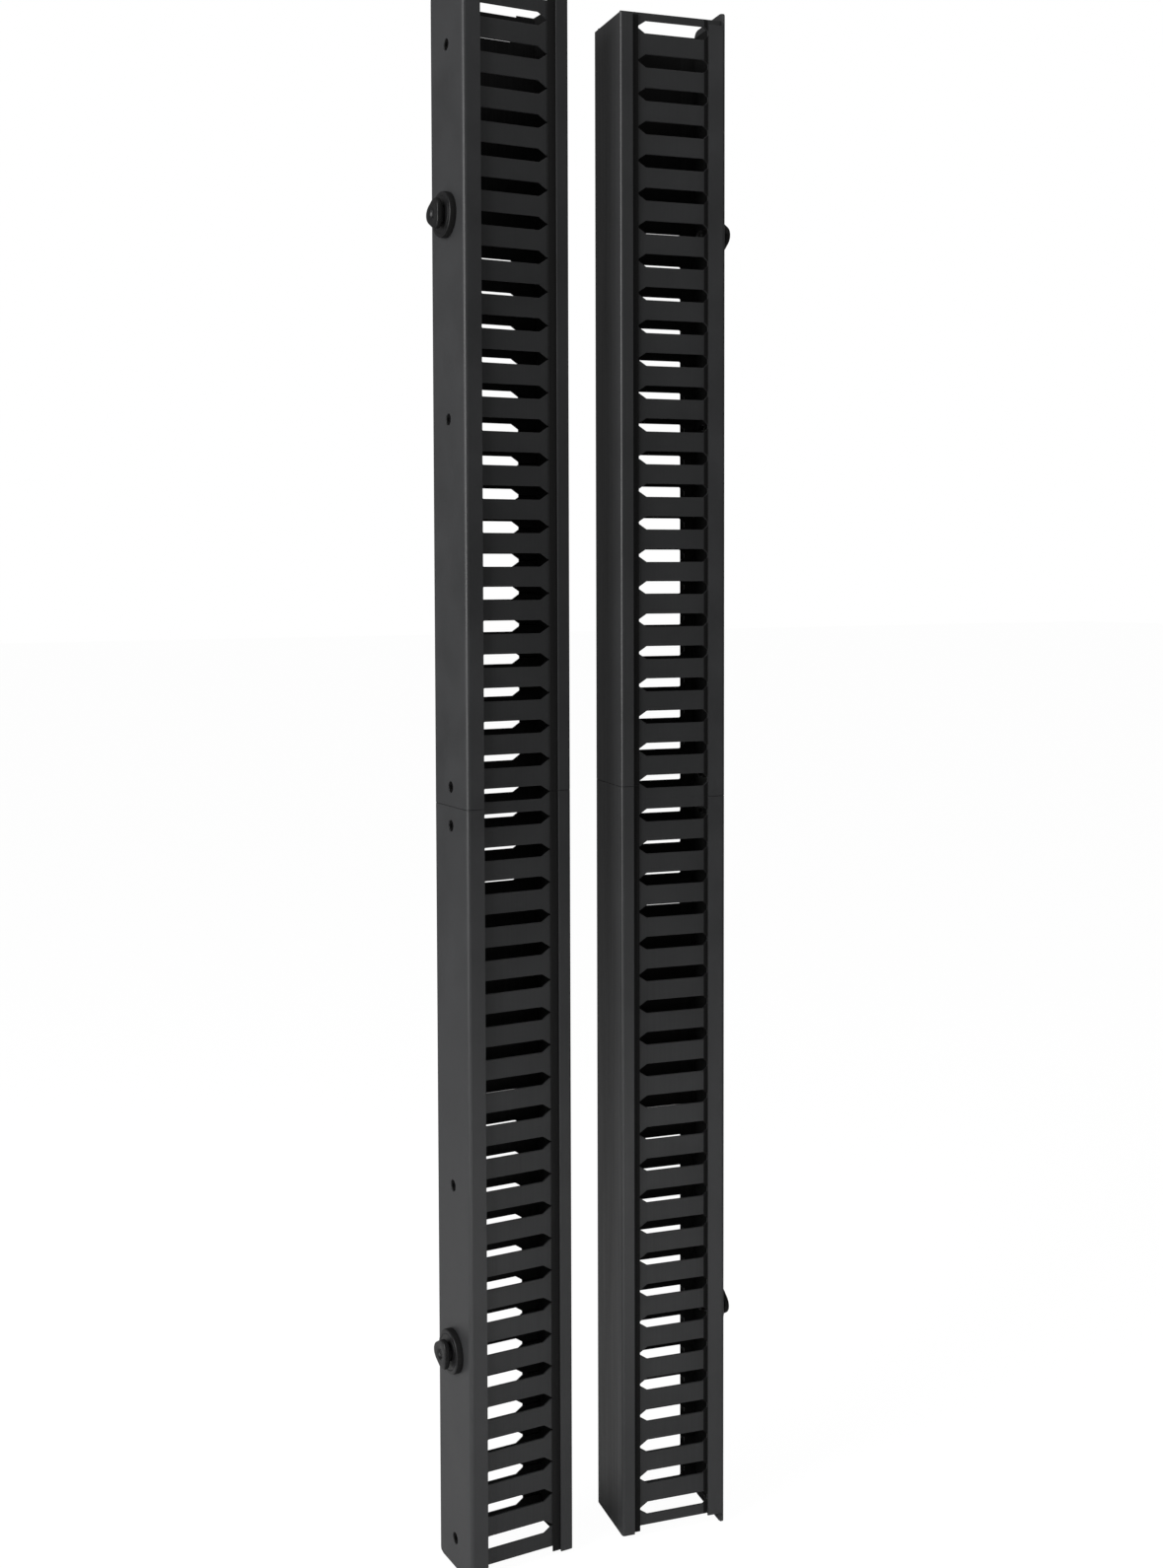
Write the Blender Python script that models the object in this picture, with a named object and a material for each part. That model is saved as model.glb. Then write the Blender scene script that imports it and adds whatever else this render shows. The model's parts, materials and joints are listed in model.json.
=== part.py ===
"""A pair of upright finger-duct cable managers for the rear of an equipment rack.

Each column is a steel back channel in two sections, which carries a two-section plastic duct with
slotted walls. Long push-on covers close the duct, and two mounting buttons with hand knobs hold the
column on a rack. The second column is the same product turned round, so its cover faces the first.
Run this file in Blender, from the text editor or with --background --python.
"""

import math
from dataclasses import dataclass

import bmesh
import bpy
from mathutils import Matrix, Vector

# Every length is in metres. In a column's own axes X runs from the back face towards the cover,
# Y runs across the column and Z runs up it.

# Overall sizes of one column
COLUMN_WIDTH = 0.0895
COLUMN_DEPTH = 0.134
UPPER_LENGTH = 0.9245
LOWER_LENGTH = 0.8897

# Clearances
FIT_GAP = 0.0003
SECTION_GAP = 0.0006
HOLE_PLAY = 0.0003
CUT_OVERRUN = 0.002

# Steel back channel
PLATE_THICKNESS = 0.003
PLATE_TOP_LIP = 0.0095
PLATE_BOTTOM_LIP = 0.0145
PLATE_CORNER_RADIUS = 0.010
FLANGE_DEPTH = 0.022
FLANGE_THICKNESS = 0.0022
FLANGE_TOP_SHORT = 0.0075
CHANNEL_EDGE_RADIUS = 0.004

# Plastic duct and its fingers
DUCT_INSET = 0.0065
DUCT_WALL = 0.0026
DUCT_FLOOR = 0.0026
FINGER_PITCH = 0.0386
LEFT_FIRST_SLOT = 0.0147
RIGHT_FIRST_SLOT = 0.0202
SLOT_HEIGHT = 0.0155
SLOT_BEHIND_FLANGE = 0.002
SLOT_BLUNT_LENGTH = 0.006
SLOT_BLUNT_HEIGHT = 0.005
SLOT_FROM_COVER = 0.025
SLOT_POINT_LENGTH = 0.010
SLIT_HEIGHT = 0.0022
LAST_FINGER_LEAST = 0.011

# Push-on cover
COVER_THICKNESS = 0.0022
COVER_SKIRT_DEPTH = 0.016
COVER_EDGE_RADIUS = 0.003
COVER_RAIL_DEPTH = 0.0225
COVER_RAIL_THICKNESS = 0.0016
LEFT_COVER_TOP_REACH = 0.003
RIGHT_COVER_TOP_REACH = -0.003
COVER_BOTTOM_REACH = 0.006
COVER_SEAM_RISE = 0.016

# Countersunk duct screws and their nuts
SCREW_FROM_SEAM = 0.0225
UPPER_SCREW_FROM_END = 0.055
LOWER_SCREW_FROM_END = 0.0202
SCREWS_PER_SECTION = 3
SCREW_RADIUS = 0.0025
SCREW_BEYOND_NUT = 0.0025
SCREW_HEAD_RADIUS = 0.0068
SCREW_HEAD_DEPTH = 0.0018
SCREW_SUNK = 0.0008
SCREW_NUT_ACROSS_FLATS = 0.008
SCREW_NUT_THICKNESS = 0.004

# Joining plate across the seam
JOINING_SIDE_CLEARANCE = 0.006
JOINING_THICKNESS = 0.002
JOINING_END_MARGIN = 0.014

# Mounting buttons
BUTTON_FROM_END = 0.2466
COLLAR_RADIUS = 0.026
COLLAR_THICKNESS = 0.008
COLLAR_EDGE_RADIUS = 0.0016
COLLAR_SEAT_CLEARANCE = 0.0012
COLLAR_SEAT_DEPTH = 0.0006
NECK_RADIUS = 0.011
NECK_LENGTH = 0.0035
KNOB_RADIUS = 0.0185
KNOB_THICKNESS = 0.0065
KNOB_EDGE_RADIUS = 0.0016
KNOB_LOBES = 3
KNOB_SCALLOP_DEPTH = 0.0026
KNOB_DISH_RADIUS = 0.0065
KNOB_DISH_DEPTH = 0.002
KNOB_SOCKET_DEPTH = 0.0065
STUD_RADIUS = 0.004
STUD_END_CHAMFER = 0.0008
WASHER_RADIUS = 0.0095
WASHER_THICKNESS = 0.0016
STUD_NUT_ACROSS_FLATS = 0.013
STUD_NUT_THICKNESS = 0.0065
STUD_BEYOND_NUT = 0.003

# How the second column stands beside the first
PAIR_GAP = 0.0646
PAIR_STEP = 0.0069
PAIR_TURN = math.radians(9.3)

# Facets of round shapes
ROUND_SIDES = 24
SMALL_ROUND_SIDES = 12
ARC_STEPS = 3
HEX_SIDES = 6
SMOOTH_ANGLE = math.radians(35.0)

# Heights and depths that follow from the sizes above
SEAM_Z = PLATE_BOTTOM_LIP + LOWER_LENGTH
DUCT_BACK_X = PLATE_THICKNESS + FIT_GAP
DUCT_FLOOR_X = DUCT_BACK_X + DUCT_FLOOR
COVER_INNER_X = COLUMN_DEPTH - COVER_THICKNESS
DUCT_TOP_X = COVER_INNER_X - FIT_GAP
DUCT_HALF_WIDTH = COLUMN_WIDTH / 2 - DUCT_INSET
SLOT_START = FLANGE_DEPTH - SLOT_BEHIND_FLANGE
SLOT_END = COLUMN_DEPTH - SLOT_FROM_COVER
JOINING_FRONT_X = DUCT_FLOOR_X + FIT_GAP + JOINING_THICKNESS
SCREW_END_X = JOINING_FRONT_X + FIT_GAP + SCREW_NUT_THICKNESS + SCREW_BEYOND_NUT
COVER_SEAM_Z = SEAM_Z + COVER_SEAM_RISE


@dataclass(frozen=True)
class Section:
    """One straight length of channel and duct, from the seam to the column's end.

    away is +1 for the section above the seam and -1 for the one below it. last_screw is the last
    screw's distance from the section's end, plate_lip is how far the plate stands past the duct
    there, and flange_short how far its flanges stop before the duct does.
    """

    name: str
    length: float
    away: int
    last_screw: float
    plate_lip: float
    flange_short: float

    def height(self, distance):
        """Return the height that lies this far from the seam."""
        return SEAM_Z + self.away * distance

    def span(self, near, far):
        """Return the lower and upper height of a stretch, given by its distances from the seam."""
        return tuple(sorted((self.height(near), self.height(far))))

    def screw_heights(self):
        """Return the heights of the section's duct screws."""
        pitch = (self.length - SCREW_FROM_SEAM - self.last_screw) / (SCREWS_PER_SECTION - 1)
        return [self.height(SCREW_FROM_SEAM + n * pitch) for n in range(SCREWS_PER_SECTION)]

    def button_height(self):
        """Return the height of the section's mounting button."""
        return self.height(self.length - BUTTON_FROM_END)


@dataclass(frozen=True)
class Column:
    """One upright cable manager: its name and its place.

    first_slot is how far its first slots lie from the seam, and cover_top how far its upper cover
    stands past the duct, because the covers slide and each stands a little differently.
    """

    name: str
    place: Vector
    turn: float
    first_slot: float
    cover_top: float


SECTIONS = (
    Section("upper", UPPER_LENGTH, 1, UPPER_SCREW_FROM_END, PLATE_TOP_LIP, FLANGE_TOP_SHORT),
    Section("lower", LOWER_LENGTH, -1, LOWER_SCREW_FROM_END, PLATE_BOTTOM_LIP, 0.0),
)


def second_column_place():
    """Return where the second column's back centre stands, from the gap, step and turn of the pair."""
    near_corner = Vector((COLUMN_DEPTH + PAIR_GAP, -COLUMN_WIDTH / 2 - PAIR_STEP, 0.0))
    along = Vector((math.cos(PAIR_TURN), -math.sin(PAIR_TURN), 0.0))
    across = Vector((math.sin(PAIR_TURN), math.cos(PAIR_TURN), 0.0))
    return near_corner + along * COLUMN_DEPTH + across * COLUMN_WIDTH / 2


COLUMNS = (
    Column("left", Vector((0.0, 0.0, 0.0)), 0.0, LEFT_FIRST_SLOT, LEFT_COVER_TOP_REACH),
    Column("right", second_column_place(), math.pi - PAIR_TURN, RIGHT_FIRST_SLOT, RIGHT_COVER_TOP_REACH),
)


# Scene and materials


def clear_scene():
    """Remove every object of the open file."""
    for old in list(bpy.data.objects):
        bpy.data.objects.remove(old, do_unlink=True)


def make_material(name, colour, roughness, metallic):
    """Return a plain Principled material."""
    material = bpy.data.materials.new(name)
    material.use_nodes = True
    shader = material.node_tree.nodes["Principled BSDF"]
    shader.inputs["Base Color"].default_value = (*colour, 1.0)
    shader.inputs["Roughness"].default_value = roughness
    shader.inputs["Metallic"].default_value = metallic
    return material


def make_materials():
    """Return the finishes of the product by their use."""
    return {
        "channel": make_material("painted_steel_black", (0.030, 0.031, 0.033), 0.50, 0.0),
        "duct": make_material("duct_plastic_black", (0.022, 0.023, 0.024), 0.55, 0.0),
        "cover": make_material("cover_plastic_black", (0.026, 0.027, 0.028), 0.45, 0.0),
        "knob": make_material("knob_plastic_black", (0.028, 0.028, 0.030), 0.40, 0.0),
        "fastener": make_material("fastener_steel_black", (0.040, 0.040, 0.042), 0.35, 0.9),
        "zinc": make_material("zinc_plated_steel", (0.55, 0.55, 0.53), 0.35, 1.0),
    }


# Mesh building


def finish_object(name, mesh_data, material, parent, place=(0.0, 0.0, 0.0)):
    """Turn a bmesh into a named object under its parent, with its faces pointing outwards."""
    bmesh.ops.recalc_face_normals(mesh_data, faces=mesh_data.faces)
    mesh = bpy.data.meshes.new(name)
    mesh_data.to_mesh(mesh)
    mesh_data.free()
    mesh.shade_smooth()
    mesh.set_sharp_from_angle(angle=SMOOTH_ANGLE)
    piece = bpy.data.objects.new(name, mesh)
    bpy.context.scene.collection.objects.link(piece)
    piece.parent = parent
    piece.location = place
    if material is not None:
        mesh.materials.append(material)
    return piece


def add_prism(mesh_data, outline, axis, start, end):
    """Add a prism: a flat outline extruded along an axis.

    The outline's points are (X, Y) for axis Z, (X, Z) for axis Y and (Y, Z) for axis X.
    """
    place = {
        "X": lambda u, v: (start, u, v),
        "Y": lambda u, v: (u, start, v),
        "Z": lambda u, v: (u, v, start),
    }[axis]
    travel = {"X": (1, 0, 0), "Y": (0, 1, 0), "Z": (0, 0, 1)}[axis]
    face = mesh_data.faces.new([mesh_data.verts.new(place(u, v)) for u, v in outline])
    grown = bmesh.ops.extrude_face_region(mesh_data, geom=[face])["geom"]
    moved = [item for item in grown if isinstance(item, bmesh.types.BMVert)]
    bmesh.ops.translate(mesh_data, vec=Vector(travel) * (end - start), verts=moved)


def add_turned(mesh_data, profile, sides, centre, radius_at=None):
    """Add a shape turned about an axis along X.

    profile is a list of (x, radius). A profile that returns to its first point is a ring with a
    bore, and any other is closed by flat ends. radius_at(radius, angle) reshapes a round section.
    """
    closed = profile[0] == profile[-1]
    stations = profile[:-1] if closed else profile
    rings = []
    for x, radius in stations:
        ring = []
        for n in range(sides):
            angle = 2 * math.pi * n / sides
            r = radius_at(radius, angle) if radius_at else radius
            point = Vector((x, r * math.cos(angle), r * math.sin(angle)))
            ring.append(mesh_data.verts.new(Vector(centre) + point))
        rings.append(ring)
    pairs = list(zip(rings, rings[1:]))
    if closed:
        pairs.append((rings[-1], rings[0]))
    else:
        mesh_data.faces.new(rings[0])
        mesh_data.faces.new(rings[-1])
    for first, second in pairs:
        for n in range(sides):
            after = (n + 1) % sides
            mesh_data.faces.new((first[n], first[after], second[after], second[n]))


def arc_points(centre, radius, start_deg, end_deg):
    """Return the points of a round corner, both ends included."""
    angles = [
        math.radians(start_deg + (end_deg - start_deg) * n / ARC_STEPS) for n in range(ARC_STEPS + 1)
    ]
    return [(centre[0] + radius * math.cos(a), centre[1] + radius * math.sin(a)) for a in angles]


def cut_with(piece, cutter_data, name):
    """Cut a piece with the solids of a bmesh, through a Boolean that stays on it."""
    cutter = finish_object(name, cutter_data, None, piece.parent, piece.location)
    cutter.hide_render = True
    cutter.display_type = "WIRE"
    boolean = piece.modifiers.new("cut", "BOOLEAN")
    boolean.operation = "DIFFERENCE"
    boolean.solver = "EXACT"
    boolean.object = cutter


# Back channel


def channel_outline():
    """Return the (X, Y) outline of the back channel: a plate with a flange along each edge."""
    half = COLUMN_WIDTH / 2
    inner = half - FLANGE_THICKNESS
    radius = CHANNEL_EDGE_RADIUS
    return [
        *arc_points((radius, -half + radius), radius, 180, 270),
        (FLANGE_DEPTH, -half),
        (FLANGE_DEPTH, -inner),
        (PLATE_THICKNESS, -inner),
        (PLATE_THICKNESS, inner),
        (FLANGE_DEPTH, inner),
        (FLANGE_DEPTH, half),
        *arc_points((radius, half - radius), radius, 90, 180),
    ]


def corner_waste(side, corner_z, away):
    """Return the (Y, Z) outline that is cut from a corner of the plate to round it."""
    half = COLUMN_WIDTH / 2
    radius = PLATE_CORNER_RADIUS
    steps = [math.radians(90.0 * n / ARC_STEPS) for n in range(ARC_STEPS + 1)]
    centre_y = half - radius
    centre_z = corner_z - away * radius
    curve = [
        (side * (centre_y + radius * math.cos(a)), centre_z + away * radius * math.sin(a)) for a in steps
    ]
    outer_y = side * (half + CUT_OVERRUN)
    outer_z = corner_z + away * CUT_OVERRUN
    return [(outer_y, curve[0][1]), *curve, (curve[-1][0], outer_z), (outer_y, outer_z)]


def make_channel(column, section, material, parent):
    """Make one section of the steel back channel, with its end lip, screw holes and stud hole."""
    mesh_data = bmesh.new()
    low, high = section.span(SECTION_GAP / 2, section.length + section.plate_lip)
    add_prism(mesh_data, channel_outline(), "Z", low, high)
    channel = finish_object(f"{column.name}_back_channel_{section.name}", mesh_data, material, parent)

    waste = bmesh.new()
    end_z = section.height(section.length + section.plate_lip)
    half = COLUMN_WIDTH / 2
    flange_end = section.length - section.flange_short
    trim_low, trim_high = section.span(flange_end, section.length + section.plate_lip + CUT_OVERRUN)
    lip_front = [
        (PLATE_THICKNESS, -half - CUT_OVERRUN),
        (FLANGE_DEPTH + CUT_OVERRUN, -half - CUT_OVERRUN),
        (FLANGE_DEPTH + CUT_OVERRUN, half + CUT_OVERRUN),
        (PLATE_THICKNESS, half + CUT_OVERRUN),
    ]
    add_prism(waste, lip_front, "Z", trim_low, trim_high)
    cut_with(channel, waste, f"{channel.name}_lip_cutter")

    corners = bmesh.new()
    for side in (-1, 1):
        outline = corner_waste(side, end_z, section.away)
        add_prism(corners, outline, "X", -CUT_OVERRUN, PLATE_THICKNESS + CUT_OVERRUN)
    for z in section.screw_heights():
        add_turned(corners, countersink_profile(), SMALL_ROUND_SIDES, (0.0, 0.0, z))
    stud_hole = [
        (-CUT_OVERRUN, STUD_RADIUS + HOLE_PLAY),
        (PLATE_THICKNESS + CUT_OVERRUN, STUD_RADIUS + HOLE_PLAY),
    ]
    add_turned(corners, stud_hole, SMALL_ROUND_SIDES, (0.0, 0.0, section.button_height()))
    cut_with(channel, corners, f"{channel.name}_hole_cutter")
    return channel


def countersink_profile():
    """Return the turned profile of a countersunk hole through the plate."""
    mouth = SCREW_HEAD_RADIUS + HOLE_PLAY
    bore = SCREW_RADIUS + HOLE_PLAY
    cone_end = SCREW_SUNK + SCREW_HEAD_DEPTH
    return [
        (-CUT_OVERRUN, mouth),
        (SCREW_SUNK, mouth),
        (cone_end, bore),
        (PLATE_THICKNESS + CUT_OVERRUN, bore),
    ]


# Finger duct


def duct_outline():
    """Return the (X, Y) outline of the duct: a floor and two walls, open towards the cover."""
    half = DUCT_HALF_WIDTH
    inner = half - DUCT_WALL
    return [
        (DUCT_BACK_X, -half),
        (DUCT_TOP_X, -half),
        (DUCT_TOP_X, -inner),
        (DUCT_FLOOR_X, -inner),
        (DUCT_FLOOR_X, inner),
        (DUCT_TOP_X, inner),
        (DUCT_TOP_X, half),
        (DUCT_BACK_X, half),
    ]


def slot_outline(z):
    """Return the (X, Z) outline of a slot: blunt at the back, pointed where its slit opens at the cover."""
    half = SLOT_HEIGHT / 2
    blunt = SLOT_BLUNT_HEIGHT / 2
    slit = SLIT_HEIGHT / 2
    top = DUCT_TOP_X + CUT_OVERRUN
    return [
        (SLOT_START, z + blunt),
        (SLOT_START, z - blunt),
        (SLOT_START + SLOT_BLUNT_LENGTH, z - half),
        (SLOT_END - SLOT_POINT_LENGTH, z - half),
        (SLOT_END, z - slit),
        (top, z - slit),
        (top, z + slit),
        (SLOT_END, z + slit),
        (SLOT_END - SLOT_POINT_LENGTH, z + half),
        (SLOT_START + SLOT_BLUNT_LENGTH, z + half),
    ]


def slot_heights(column, section):
    """Return the heights of a section's slots, as many as its length holds."""
    room = section.length - column.first_slot - LAST_FINGER_LEAST
    count = int(room / FINGER_PITCH) + 1
    return [section.height(column.first_slot + n * FINGER_PITCH) for n in range(count)]


def make_duct(column, section, material, parent):
    """Make one section of the finger duct: both slotted walls and the drilled floor."""
    mesh_data = bmesh.new()
    low, high = section.span(SECTION_GAP / 2, section.length)
    add_prism(mesh_data, duct_outline(), "Z", low, high)
    duct = finish_object(f"{column.name}_finger_duct_{section.name}", mesh_data, material, parent)

    reach = DUCT_HALF_WIDTH + CUT_OVERRUN
    waste = bmesh.new()
    for z in slot_heights(column, section):
        add_prism(waste, slot_outline(z), "Y", -reach, reach)
    floor_cut = (DUCT_BACK_X - CUT_OVERRUN, DUCT_FLOOR_X + CUT_OVERRUN)
    for z in section.screw_heights():
        hole = [(x, SCREW_RADIUS + HOLE_PLAY) for x in floor_cut]
        add_turned(waste, hole, SMALL_ROUND_SIDES, (0.0, 0.0, z))
    hole = [(x, STUD_RADIUS + HOLE_PLAY) for x in floor_cut]
    add_turned(waste, hole, SMALL_ROUND_SIDES, (0.0, 0.0, section.button_height()))
    cut_with(duct, waste, f"{duct.name}_cutter")
    return duct


# Cover


def cover_outline():
    """Return the (X, Y) outline of the cover: a face, two outer skirts and two rails on the fingers."""
    half = COLUMN_WIDTH / 2
    inner = half - COVER_THICKNESS
    skirt_x = COLUMN_DEPTH - COVER_SKIRT_DEPTH
    rail_inner = DUCT_HALF_WIDTH + FIT_GAP
    rail_outer = rail_inner + COVER_RAIL_THICKNESS
    rail_x = COVER_INNER_X - COVER_RAIL_DEPTH
    radius = COVER_EDGE_RADIUS
    one_side = [
        (COVER_INNER_X, rail_inner),
        (rail_x, rail_inner),
        (rail_x, rail_outer),
        (COVER_INNER_X, rail_outer),
        (COVER_INNER_X, inner),
        (skirt_x, inner),
        (skirt_x, half),
        *arc_points((COLUMN_DEPTH - radius, half - radius), radius, 90, 0),
    ]
    return one_side + [(x, -y) for x, y in reversed(one_side)]


def make_cover(column, section, material, parent):
    """Make one length of cover. The covers meet a little above the seam of the duct."""
    reach = column.cover_top if section.away > 0 else COVER_BOTTOM_REACH
    far_z = section.height(section.length + reach)
    near_z = COVER_SEAM_Z + section.away * SECTION_GAP / 2
    low, high = sorted((near_z, far_z))
    mesh_data = bmesh.new()
    add_prism(mesh_data, cover_outline(), "Z", 0.0, high - low)
    name = f"{column.name}_cover_{section.name}"
    return finish_object(name, mesh_data, material, parent, (0.0, 0.0, low))


# Fasteners


def screw_profile():
    """Return the turned profile of a countersunk screw, from its head to its end."""
    head_x = SCREW_SUNK
    cone_x = head_x + SCREW_HEAD_DEPTH
    return [
        (head_x, SCREW_HEAD_RADIUS),
        (cone_x, SCREW_RADIUS),
        (SCREW_END_X, SCREW_RADIUS),
    ]


def nut_ring(start, thickness, bore, across_flats):
    """Return a hexagon nut's profile: a bored ring whose radius is the hexagon's corner radius."""
    corner = across_flats / math.sqrt(3.0)
    end = start + thickness
    return [(start, bore), (start, corner), (end, corner), (end, bore), (start, bore)]


def add_nut(mesh_data, start, thickness, bore, across_flats, z):
    """Add a hexagon nut with a bore of six flats about its stud or screw."""
    inner = (bore + HOLE_PLAY) / math.cos(math.pi / HEX_SIDES)
    add_turned(mesh_data, nut_ring(start, thickness, inner, across_flats), HEX_SIDES, (0.0, 0.0, z))


def make_duct_screw(column, section, number, z, materials, parent):
    """Make one countersunk screw, which holds the duct in the channel."""
    mesh_data = bmesh.new()
    add_turned(mesh_data, screw_profile(), SMALL_ROUND_SIDES, (0.0, 0.0, 0.0))
    name = f"{column.name}_duct_screw_{section.name}_{number}"
    return finish_object(name, mesh_data, materials["fastener"], parent, (0.0, 0.0, z))


def make_duct_nut(column, section, number, z, materials, parent):
    """Make the nut of one duct screw. The nut nearest the seam also clamps the joining plate."""
    carrier = JOINING_FRONT_X if number == 1 else DUCT_FLOOR_X
    seat = carrier + FIT_GAP
    mesh_data = bmesh.new()
    add_nut(mesh_data, seat, SCREW_NUT_THICKNESS, SCREW_RADIUS, SCREW_NUT_ACROSS_FLATS, 0.0)
    name = f"{column.name}_duct_nut_{section.name}_{number}"
    return finish_object(name, mesh_data, materials["zinc"], parent, (0.0, 0.0, z))


def make_duct_fasteners(column, section, materials, parent):
    """Make the screws and nuts of one section, numbered from the seam."""
    for number, z in enumerate(section.screw_heights(), start=1):
        make_duct_screw(column, section, number, z, materials, parent)
        make_duct_nut(column, section, number, z, materials, parent)


def make_joining_plate(column, materials, parent):
    """Make the plate inside the duct that joins the two sections."""
    reach = SCREW_FROM_SEAM + JOINING_END_MARGIN
    half = DUCT_HALF_WIDTH - DUCT_WALL - JOINING_SIDE_CLEARANCE
    outline = [(-half, -reach), (half, -reach), (half, reach), (-half, reach)]
    back_x = DUCT_FLOOR_X + FIT_GAP
    mesh_data = bmesh.new()
    add_prism(mesh_data, outline, "X", back_x, JOINING_FRONT_X)
    name = f"{column.name}_joining_plate"
    plate = finish_object(name, mesh_data, materials["zinc"], parent, (0.0, 0.0, SEAM_Z))
    holes = bmesh.new()
    for side in (-1, 1):
        hole = [
            (back_x - CUT_OVERRUN, SCREW_RADIUS + HOLE_PLAY),
            (JOINING_FRONT_X + CUT_OVERRUN, SCREW_RADIUS + HOLE_PLAY),
        ]
        add_turned(holes, hole, SMALL_ROUND_SIDES, (0.0, 0.0, side * SCREW_FROM_SEAM))
    cut_with(plate, holes, f"{name}_cutter")
    return plate


# Mounting buttons


def make_collar(name, materials, parent, z):
    """Make the round collar between button and back face, with a shallow seat for the knob's neck."""
    back = -FIT_GAP
    front = back - COLLAR_THICKNESS
    bore = STUD_RADIUS + HOLE_PLAY
    edge = COLLAR_EDGE_RADIUS
    seat = NECK_RADIUS + COLLAR_SEAT_CLEARANCE
    profile = [
        (back, bore),
        (back, COLLAR_RADIUS),
        (front + edge, COLLAR_RADIUS),
        (front, COLLAR_RADIUS - edge),
        (front, seat),
        (front + COLLAR_SEAT_DEPTH, seat),
        (front + COLLAR_SEAT_DEPTH, bore),
        (back, bore),
    ]
    mesh_data = bmesh.new()
    add_turned(mesh_data, profile, ROUND_SIDES, (0.0, 0.0, 0.0))
    return finish_object(f"{name}_collar", mesh_data, materials["knob"], parent, (0.0, 0.0, z))


def knob_seat():
    """Return where the knob's neck starts, in the collar's seat."""
    return -FIT_GAP - COLLAR_THICKNESS + COLLAR_SEAT_DEPTH - FIT_GAP


def lobed(radius, angle):
    """Return the radius of the hand knob's lobed outline. The neck and the dish stay round."""
    if radius <= KNOB_RADIUS - KNOB_SCALLOP_DEPTH:
        return radius
    wave = 1 - math.cos(KNOB_LOBES * angle)
    return radius - KNOB_SCALLOP_DEPTH * wave / 2


def make_knob(name, materials, parent, z):
    """Make the hand knob: a round neck, a lobed head with a dished face, and a socket for the stud."""
    seat = knob_seat()
    under = -FIT_GAP - COLLAR_THICKNESS - NECK_LENGTH
    face = under - KNOB_THICKNESS
    edge = KNOB_EDGE_RADIUS
    socket = STUD_RADIUS + HOLE_PLAY
    profile = [
        (seat - KNOB_SOCKET_DEPTH, socket),
        (seat, socket),
        (seat, NECK_RADIUS),
        (under, NECK_RADIUS),
        (under, KNOB_RADIUS - edge),
        (under - edge, KNOB_RADIUS),
        (face + edge, KNOB_RADIUS),
        (face, KNOB_RADIUS - edge),
        (face, KNOB_DISH_RADIUS),
        (face + KNOB_DISH_DEPTH, KNOB_DISH_RADIUS - KNOB_DISH_DEPTH),
    ]
    mesh_data = bmesh.new()
    add_turned(mesh_data, profile, ROUND_SIDES, (0.0, 0.0, 0.0), lobed)
    return finish_object(f"{name}_knob", mesh_data, materials["knob"], parent, (0.0, 0.0, z))


def make_stud(name, materials, parent, z):
    """Make the knob's threaded stud, which runs through collar, channel and duct into its nut."""
    start = knob_seat() - KNOB_SOCKET_DEPTH + FIT_GAP
    end = stud_nut_seat() + STUD_NUT_THICKNESS + STUD_BEYOND_NUT
    profile = [
        (start, STUD_RADIUS),
        (end - STUD_END_CHAMFER, STUD_RADIUS),
        (end, STUD_RADIUS - STUD_END_CHAMFER),
    ]
    mesh_data = bmesh.new()
    add_turned(mesh_data, profile, SMALL_ROUND_SIDES, (0.0, 0.0, 0.0))
    return finish_object(f"{name}_stud", mesh_data, materials["zinc"], parent, (0.0, 0.0, z))


def stud_nut_seat():
    """Return where the stud's nut starts, on its washer on the duct's floor."""
    return DUCT_FLOOR_X + FIT_GAP + WASHER_THICKNESS + FIT_GAP


def make_washer(name, materials, parent, z):
    """Make the washer between the duct's floor and the stud's nut."""
    start = DUCT_FLOOR_X + FIT_GAP
    end = start + WASHER_THICKNESS
    bore = STUD_RADIUS + HOLE_PLAY
    profile = [(start, bore), (start, WASHER_RADIUS), (end, WASHER_RADIUS), (end, bore), (start, bore)]
    mesh_data = bmesh.new()
    add_turned(mesh_data, profile, SMALL_ROUND_SIDES, (0.0, 0.0, 0.0))
    return finish_object(f"{name}_washer", mesh_data, materials["zinc"], parent, (0.0, 0.0, z))


def make_stud_nut(name, materials, parent, z):
    """Make the hexagon nut that holds the stud inside the duct."""
    mesh_data = bmesh.new()
    add_nut(mesh_data, stud_nut_seat(), STUD_NUT_THICKNESS, STUD_RADIUS, STUD_NUT_ACROSS_FLATS, 0.0)
    return finish_object(f"{name}_nut", mesh_data, materials["zinc"], parent, (0.0, 0.0, z))


def make_button(column, section, materials, parent):
    """Make the pieces of one mounting button on the stud's axis."""
    name = f"{column.name}_button_{section.name}"
    z = section.button_height()
    for maker in (make_collar, make_knob, make_stud, make_washer, make_stud_nut):
        maker(name, materials, parent, z)


# Assembly


def make_column(column, materials):
    """Make all the pieces of one column under an empty at its back centre."""
    anchor = bpy.data.objects.new(f"{column.name}_column", None)
    bpy.context.scene.collection.objects.link(anchor)
    anchor.location = column.place
    anchor.rotation_euler = (0.0, 0.0, column.turn)
    for section in SECTIONS:
        make_channel(column, section, materials["channel"], anchor)
        make_duct(column, section, materials["duct"], anchor)
        make_cover(column, section, materials["cover"], anchor)
        make_button(column, section, materials, anchor)
        make_duct_fasteners(column, section, materials, anchor)
    make_joining_plate(column, materials, anchor)
    return anchor


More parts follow.
